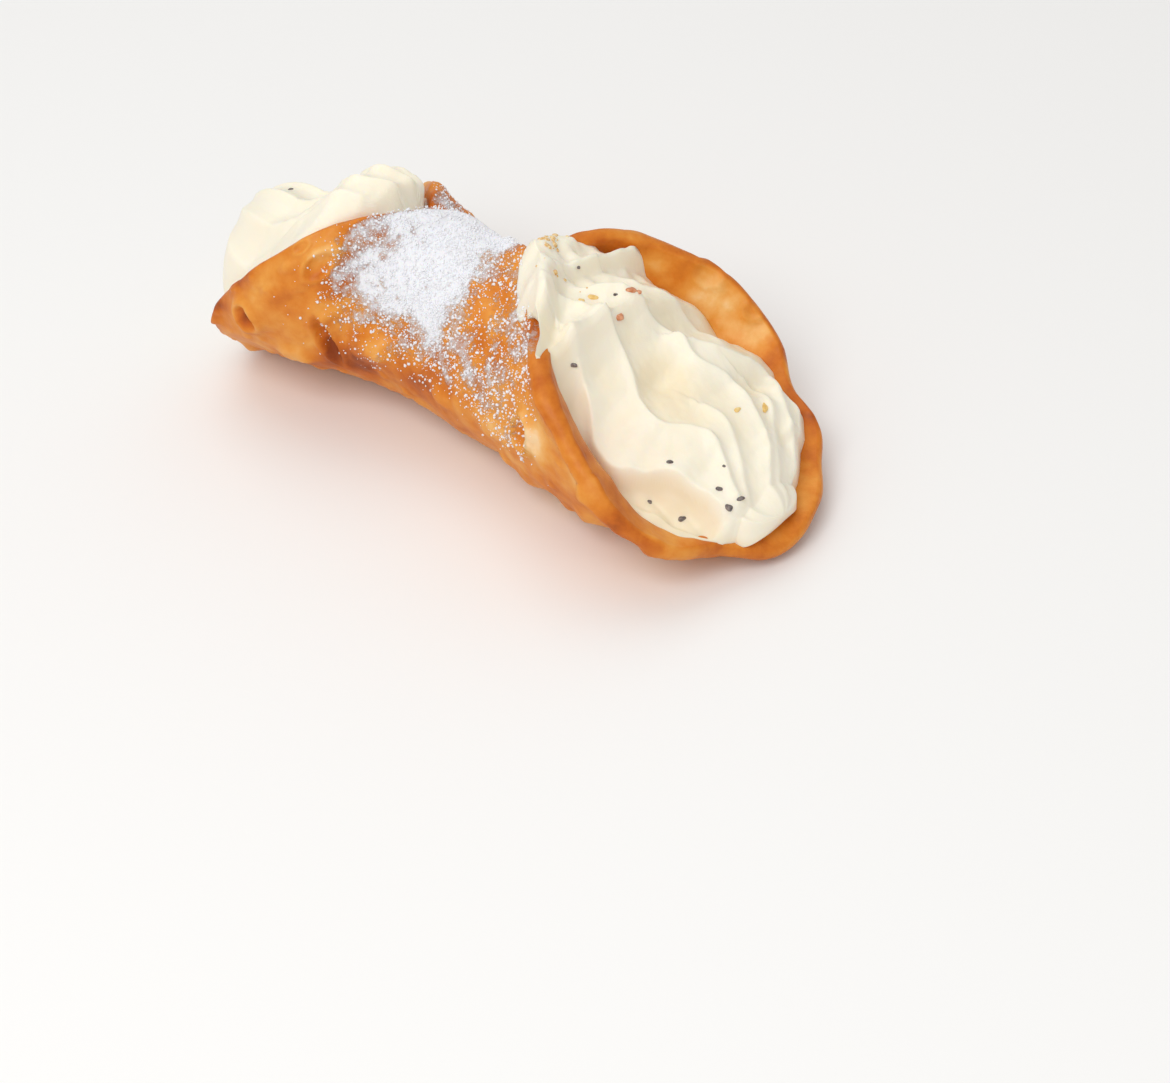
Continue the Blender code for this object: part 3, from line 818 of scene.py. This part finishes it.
def piping(points):
    """Height of the ridges, lumps and curds over the smooth dome. A ridge falls off with
    the distance d to its path as exp(-(√(d² + s²) - s) / width)."""
    x, y = points[..., 0], points[..., 1]
    curds = 0.16 + 0.34 * ease((x - 8.0) / 4.0) * ease((32.0 - x) / 10.0)
    total = 0.35 * noise(points, 4.0, 50) + curds * noise(points, 1.9, 51) + 0.06 * noise(points, 0.9, 52)
    for path, near, far, height, drop in RIDGES:
        d = distance_to_path(points, smooth_path(path))
        width = np.where(d < 0, near, far)
        total += height * np.exp(-(np.hypot(d, CREST_SOFTNESS) - CREST_SOFTNESS) / width)
        ends = ease((x - path[2][0]) / 8.0) * ease((path[-1][0] + 1.0 - x) / 3.0)
        total -= drop * ends * ease(-d / 0.8 + 0.2)
    for cx, cy, rx, ry, height in LUMPS:
        total += height * np.exp(-((x - cx) / rx) ** 2 - ((y - cy) / ry) ** 2)
    return total


def rounded_end(ring, length, lift, droop):
    """Rings that close one end over length: as an angle goes from 0 to a right angle, the last
    ring shrinks by its cosine and moves on by its sine, about a centre that stands clear of
    the dough by lift and sinks by droop times length."""
    centre = ring.mean(axis=0) + np.array([0.0, 0.0, lift])
    angles = np.linspace(0.0, np.pi / 2.0, CAP_RINGS + 1)[1:-1, None, None]
    forward = np.array([1.0, 0.0, -droop]) * length
    rings = centre + (ring - centre) * np.cos(angles) + forward * np.sin(angles)
    return rings, centre + forward


def make_cream():
    """Rings across the tube from back to front, along the dough and then over the dome,
    with a rounded end at each mouth."""
    x = np.linspace(CREAM_REAR, CREAM_FRONT, CREAM_STATIONS)
    near, far = contact(x, -1.0, NEAR_MARGIN), contact(x, 1.0, FAR_MARGIN)
    scallops = 0.9 * noise(np.stack([x, x * 0.0, x * 0.0], -1), 3.0, 55) * ease((x - 34.0) / 8.0)
    near, far = near + scallops, far + scallops[::-1] * ease((x - 20.0) / 10.0)
    t = np.linspace(0.0, 1.0, WALL_STEPS)[None]
    wall = cream_wall(x[:, None] + 0.0 * t, -near[:, None] + (near + far)[:, None] * t)
    spill = along_cream(x, SPILL)
    outside = outside_point(x, spill - half_width(x, np.full_like(x, -1.0)), -0.4)
    foot = wall[:, 0] + (outside - wall[:, 0]) * ease(spill / 1.5)[:, None]
    dome, upwards = cream_dome(wall[:, -1:], foot[:, None], along_cream(x, CREST), DOME_STEPS)
    dome = dome + upwards * over_rim(dome, upwards, foot, x, spill)[..., None]
    edge = np.sin(np.linspace(0.0, np.pi, DOME_STEPS + 2))[None, 1:-1]
    rise = piping(dome) * ease(4.0 * edge)
    dome = dome + upwards * rise[..., None]
    # Painted shade: from 18 mm forward, the cream is coloured darker and warmer where it lies low between
    # the ridges
    shade = np.zeros((CREAM_STATIONS, WALL_STEPS + DOME_STEPS))
    hollow_shade = np.clip(0.42 - 0.3 * rise, 0.0, 0.42)
    shade[:, WALL_STEPS:] = hollow_shade * ease((x[:, None] - 18.0) / 14.0)
    rings = np.concatenate([wall, dome], axis=1)
    rear, rear_tip = rounded_end(rings[0], -REAR_CAP, REAR_LIFT, 0.0)
    front, front_tip = rounded_end(rings[-1], FRONT_CAP, FRONT_LIFT, FRONT_DROOP)
    rows = np.concatenate([rear[::-1], rings, front])
    count, ring = len(rows), rows.shape[1]
    points = np.concatenate([rows.reshape(-1, 3), rear_tip[None], front_tip[None]])
    quads = grid_faces(count, ring, closed=True)
    first = np.arange(ring)
    last = first + (count - 1) * ring
    tip = np.full(ring, count * ring)
    caps = np.concatenate([
        np.stack([tip, np.roll(first, -1), first], -1),
        np.stack([tip + 1, last, np.roll(last, -1)], -1),
    ])
    at_rear, at_front = np.tile(shade[:1], (len(rear), 1)), np.tile(shade[-1:], (len(front), 1))
    shade = np.concatenate([at_rear, shade, at_front])
    # the crease values are painted shade, carried on over the rounded ends and tips
    crease_shade = np.append(shade.ravel(), (0.0, shade[-1].mean()))
    add_cream(points, quads, caps, crease_shade)
    return rows[:, WALL_STEPS:].reshape(-1, 3)


def add_cream(points, quads, caps, crease_shade):
    """Quads and the two fans of triangles as one mesh."""
    mesh = bpy.data.meshes.new("ricotta_filling")
    faces = quads.tolist() + caps.tolist()
    mesh.from_pydata(settled(points), [], faces)
    # this attribute holds the painted shade of the cream's creases and hollows
    layer = mesh.attributes.new("crease_shade", "FLOAT", "POINT")
    layer.data.foreach_set("value", crease_shade.astype(np.float32))
    mesh.shade_smooth()
    mesh.materials.append(ricotta_cream())
    piece = bpy.data.objects.new("ricotta_filling", mesh)
    bpy.context.scene.collection.objects.link(piece)
    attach(piece, "root")
    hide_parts("cream")
    return piece


# --- Bits in the cream and sugar on the dough ---------------------------------------------

# Each bit: x, y, length, width and height in mm, and its turn seen from above in degrees
CHOCOLATE_CHIPS = (
    (31.4, -10.9, 1.5, 0.8, 0.7, 20), (50.0, -9.2, 1.2, 0.9, 0.7, 40), (49.5, -12.8, 0.9, 0.7, 0.6, 0),
    (54.5, -11.0, 1.3, 1.0, 0.8, 70), (57.4, -6.6, 1.2, 0.9, 0.6, 30), (59.8, -7.4, 1.9, 1.1, 0.8, -30),
    (60.6, -5.4, 1.4, 0.7, 0.7, 60), (20.1, 3.5, 0.8, 0.6, 0.5, 10), (55.8, -3.9, 0.6, 0.5, 0.5, 0),
    (28.2, 2.6, 0.8, 0.6, 0.5, 50), (-30.0, 9.0, 1.1, 0.8, 0.7, 15), (-38.0, 1.0, 1.2, 0.8, 0.7, 80),
)
CANDIED_PEEL = (
    (26.0, 0.5, 2.2, 1.3, 0.8, 30), (25.2, -1.6, 1.2, 0.9, 0.7, 0), (24.2, -4.8, 1.4, 1.0, 0.8, 60),
    (29.3, -1.2, 1.5, 1.1, 0.8, 10), (50.2, 6.0, 1.5, 1.0, 0.6, 90), (51.8, 11.1, 2.6, 0.9, 0.7, -50),
    (-18.0, 8.0, 1.8, 1.2, 0.8, 0), (-15.0, 10.0, 1.3, 1.0, 0.8, 40),
)
ORANGE_PEEL = (
    (31.0, 0.3, 1.7, 1.5, 1.0, 20), (29.4, 4.6, 1.9, 1.1, 0.8, 40), (30.4, 5.6, 0.9, 0.7, 0.6, 0),
)
CRUMB_HEAPS = ((14.6, 3.0, 2.2, 2.6, 34), (22.0, -2.0, 4.0, 4.0, 8))   # x, y, spreads, number
CRUMB_SIZES = (0.4, 1.5)
CRUMB_SEED = 9
BIT_SINK = 0.25              # how far a bit's middle lies below the cream, over its height
GRAIN_COUNT = 9500
GRAIN_SIZES = (0.07, 0.27)   # half widths of the clumps of sugar, in mm
GRAIN_SEED = 5
GRAIN_TRIES = 6              # places tried for each clump that is wanted
SUGAR_ALONG = (-20.0, 36.0)  # where clumps may lie: along the tube, and around each side
SUGAR_NEAR = (-49.0, -18.0)
SUGAR_FAR = (22.0, 46.0)
SUGAR_NEAR_SHARE = 0.68


def ball(levels):
    """Points and triangles of a unit ball, an icosahedron split that many times."""
    bm = bmesh.new()
    bmesh.ops.create_icosphere(bm, subdivisions=levels, radius=1.0)
    points = np.array([vert.co[:] for vert in bm.verts])
    faces = np.array([[vert.index for vert in face.verts] for face in bm.faces])
    bm.free()
    return points, faces


def turns(rng, count):
    """Random turning matrices, from random unit quaternions."""
    q = rng.normal(size=(4, count))
    w, x, y, z = q / np.linalg.norm(q, axis=0)
    return np.moveaxis(np.array([
        [1 - 2 * (y * y + z * z), 2 * (x * y - z * w), 2 * (x * z + y * w)],
        [2 * (x * y + z * w), 1 - 2 * (x * x + z * z), 2 * (y * z - x * w)],
        [2 * (x * z - y * w), 2 * (y * z + x * w), 1 - 2 * (x * x + y * y)],
    ]), -1, 0)


def copies(shape, faces, matrices, places):
    """The shape once for each matrix and place, as one array of points and one of faces."""
    points = np.einsum("nij,pj->npi", matrices, shape) + places[:, None]
    numbers = faces[None] + (np.arange(len(places)) * len(shape))[:, None, None]
    return points.reshape(-1, 3), numbers.reshape(-1, 3)


def crumb_table():
    """Rows as in the lists of bits for the crumbs of dough, scattered in round heaps."""
    rng = np.random.default_rng(CRUMB_SEED)
    rows = []
    for x, y, spread_x, spread_y, count in CRUMB_HEAPS:
        where = rng.normal((x, y), (spread_x / 1.5, spread_y / 1.5), (count, 2))
        size = CRUMB_SIZES[0] + (CRUMB_SIZES[1] - CRUMB_SIZES[0]) * rng.random((count, 1)) ** 2
        sides = size * rng.uniform(0.6, 1.0, (count, 3))
        turn = rng.uniform(0, 90, (count, 1))
        rows.append(np.hstack([where, sides, turn]))
    return np.concatenate(rows)


def make_bits(name, bits, surface, material):
    """Angular bits half sunk in the cream: lumpy balls, stretched and turned."""
    table = np.array(bits, float)
    away = np.linalg.norm(surface[None, :, :2] - table[:, None, :2], axis=-1)
    places = surface[np.argmin(away, axis=1)]
    shape, faces = ball(3)
    shape = shape * (1.0 + 0.28 * noise(shape + 7.0, 0.9, 81))[:, None]
    c, s = np.cos(np.radians(table[:, 5])), np.sin(np.radians(table[:, 5]))
    flat = np.zeros((len(table), 3, 3))
    flat[:, 0, 0], flat[:, 0, 1], flat[:, 1, 0], flat[:, 1, 1], flat[:, 2, 2] = c, -s, s, c, 1.0
    places = places - [0.0, 0.0, BIT_SINK] * table[:, 4:5]
    points, faces = copies(shape, faces, flat * table[:, None, 2:5] / 2.0, places)
    return add_mesh(name, settled(points), faces, material)


def make_sugar():
    """Clumps of powdered sugar on the dough, thickest where the dusting is."""
    rng = np.random.default_rng(GRAIN_SEED)
    x = rng.uniform(*SUGAR_ALONG, GRAIN_TRIES * GRAIN_COUNT)
    on_near = rng.random(len(x)) < SUGAR_NEAR_SHARE
    near, far = rng.uniform(*SUGAR_NEAR, len(x)), rng.uniform(*SUGAR_FAR, len(x))
    arc = np.where(on_near, near, far)
    chance = 1.3 * dust_density(x, arc) ** 1.5 + 0.003
    kept = (to_rim(x, arc) > 0.4) & (rng.random(len(x)) < chance)
    x, arc = x[kept][:GRAIN_COUNT], arc[kept][:GRAIN_COUNT]
    size = GRAIN_SIZES[0] + (GRAIN_SIZES[1] - GRAIN_SIZES[0]) * rng.random(len(x)) ** 3
    stretch = size[:, None, None] * rng.uniform(0.6, 1.3, (len(x), 1, 3))
    shape, faces = ball(1)
    places = outside_point(x, arc, 0.3 * size)
    points, faces = copies(shape, faces, turns(rng, len(x)) * stretch, places)
    return add_mesh("sugar_clumps", settled(points), faces, powdered_sugar())


# --- Stage, light and camera ------------------------------------------------------------

CAMERA_AZIMUTH = 42.36
CAMERA_ELEVATION = 38.92
CAMERA_ROLL = -3.04
CAMERA_DISTANCE = 0.4589
CAMERA_AIM = (0.01626, -0.00289, -0.01621)
CAMERA_LENS = 88.17
FLOOR_HALF = 3.0


def make_floor():
    """A pale matt sheet under the cannolo."""
    mesh = bpy.data.meshes.new("floor")
    corners = [(x * FLOOR_HALF, y * FLOOR_HALF, 0) for x, y in ((-1, -1), (1, -1), (1, 1), (-1, 1))]
    mesh.from_pydata(corners, [], [(0, 1, 2, 3)])
    floor = bpy.data.objects.new("floor", mesh)
    bpy.context.scene.collection.objects.link(floor)
    material, _, shader = new_material("pale matt card")
    shader.inputs["Base Color"].default_value = colour("#F4F3F1")
    shader.inputs["Roughness"].default_value = 0.9
    mesh.materials.append(material)


def soft_light(name, place, size, watts):
    """A square area light at place that faces the cannolo."""
    light = bpy.data.lights.new(name, "AREA")
    light.size = size
    light.energy = watts
    lamp = bpy.data.objects.new(name, light)
    lamp.location = place
    lamp.rotation_euler = (-lamp.location).to_track_quat("-Z", "Y").to_euler()
    bpy.context.scene.collection.objects.link(lamp)


def light_stage():
    """Soft studio light: a bright white room, a large light from the near side and a
    weaker one overhead."""
    world = bpy.data.worlds.new("white room")
    bpy.context.scene.world = world
    world.use_nodes = True
    backdrop = world.node_tree.nodes["Background"]
    backdrop.inputs["Color"].default_value = (1.0, 1.0, 1.0, 1.0)
    backdrop.inputs["Strength"].default_value = 0.6
    soft_light("key", (0.18, -0.52, 0.64), 0.45, 3.05)
    soft_light("overhead", (-0.30, 0.10, 0.70), 0.5, 0.9)
    bpy.context.scene.view_settings.view_transform = "Standard"


def make_camera():
    """A long lens that looks down on the cannolo from the front right, rolled a little."""
    a, e, r = np.radians([CAMERA_AZIMUTH, CAMERA_ELEVATION, CAMERA_ROLL])
    back = np.array([np.sin(a) * np.cos(e), -np.cos(a) * np.cos(e), np.sin(e)])
    right = np.array([np.cos(a), np.sin(a), 0.0])
    up = np.cross(back, right)
    across = right * np.cos(r) + up * np.sin(r)
    place = np.array(CAMERA_AIM) + back * CAMERA_DISTANCE
    lens = bpy.data.cameras.new("camera")
    lens.lens = CAMERA_LENS
    lens.sensor_width = 36.0
    lens.sensor_fit = "HORIZONTAL"
    lens.clip_start, lens.clip_end = 0.01, 20.0
    camera = bpy.data.objects.new("camera", lens)
    turn = np.eye(4)
    turn[:3, :3] = np.stack([across, np.cross(back, across), back], -1)
    turn[:3, 3] = place
    camera.matrix_world = Matrix(turn.tolist())
    bpy.context.scene.collection.objects.link(camera)
    bpy.context.scene.camera = camera


make_shell()
heap = make_cream()
make_bits("chocolate_chips", CHOCOLATE_CHIPS, heap,
          speckled("dark chocolate", "#453B3A", "#8A7F7A", 0.5, 0.5))
make_bits("candied_lemon_peel", CANDIED_PEEL, heap,
          speckled("candied lemon peel", "#DDAE55", "#F2D491", 0.35, 0.8))
make_bits("candied_orange_peel", ORANGE_PEEL, heap,
          speckled("candied orange peel", "#BE6C3C", "#DFA078", 0.35, 0.8))
make_bits("dough_crumbs", crumb_table(), heap,
          speckled("crumbs of fried dough", "#DDA552", "#F3DCAB", 0.6, 0.5))
make_sugar()
make_floor()
light_stage()
make_camera()
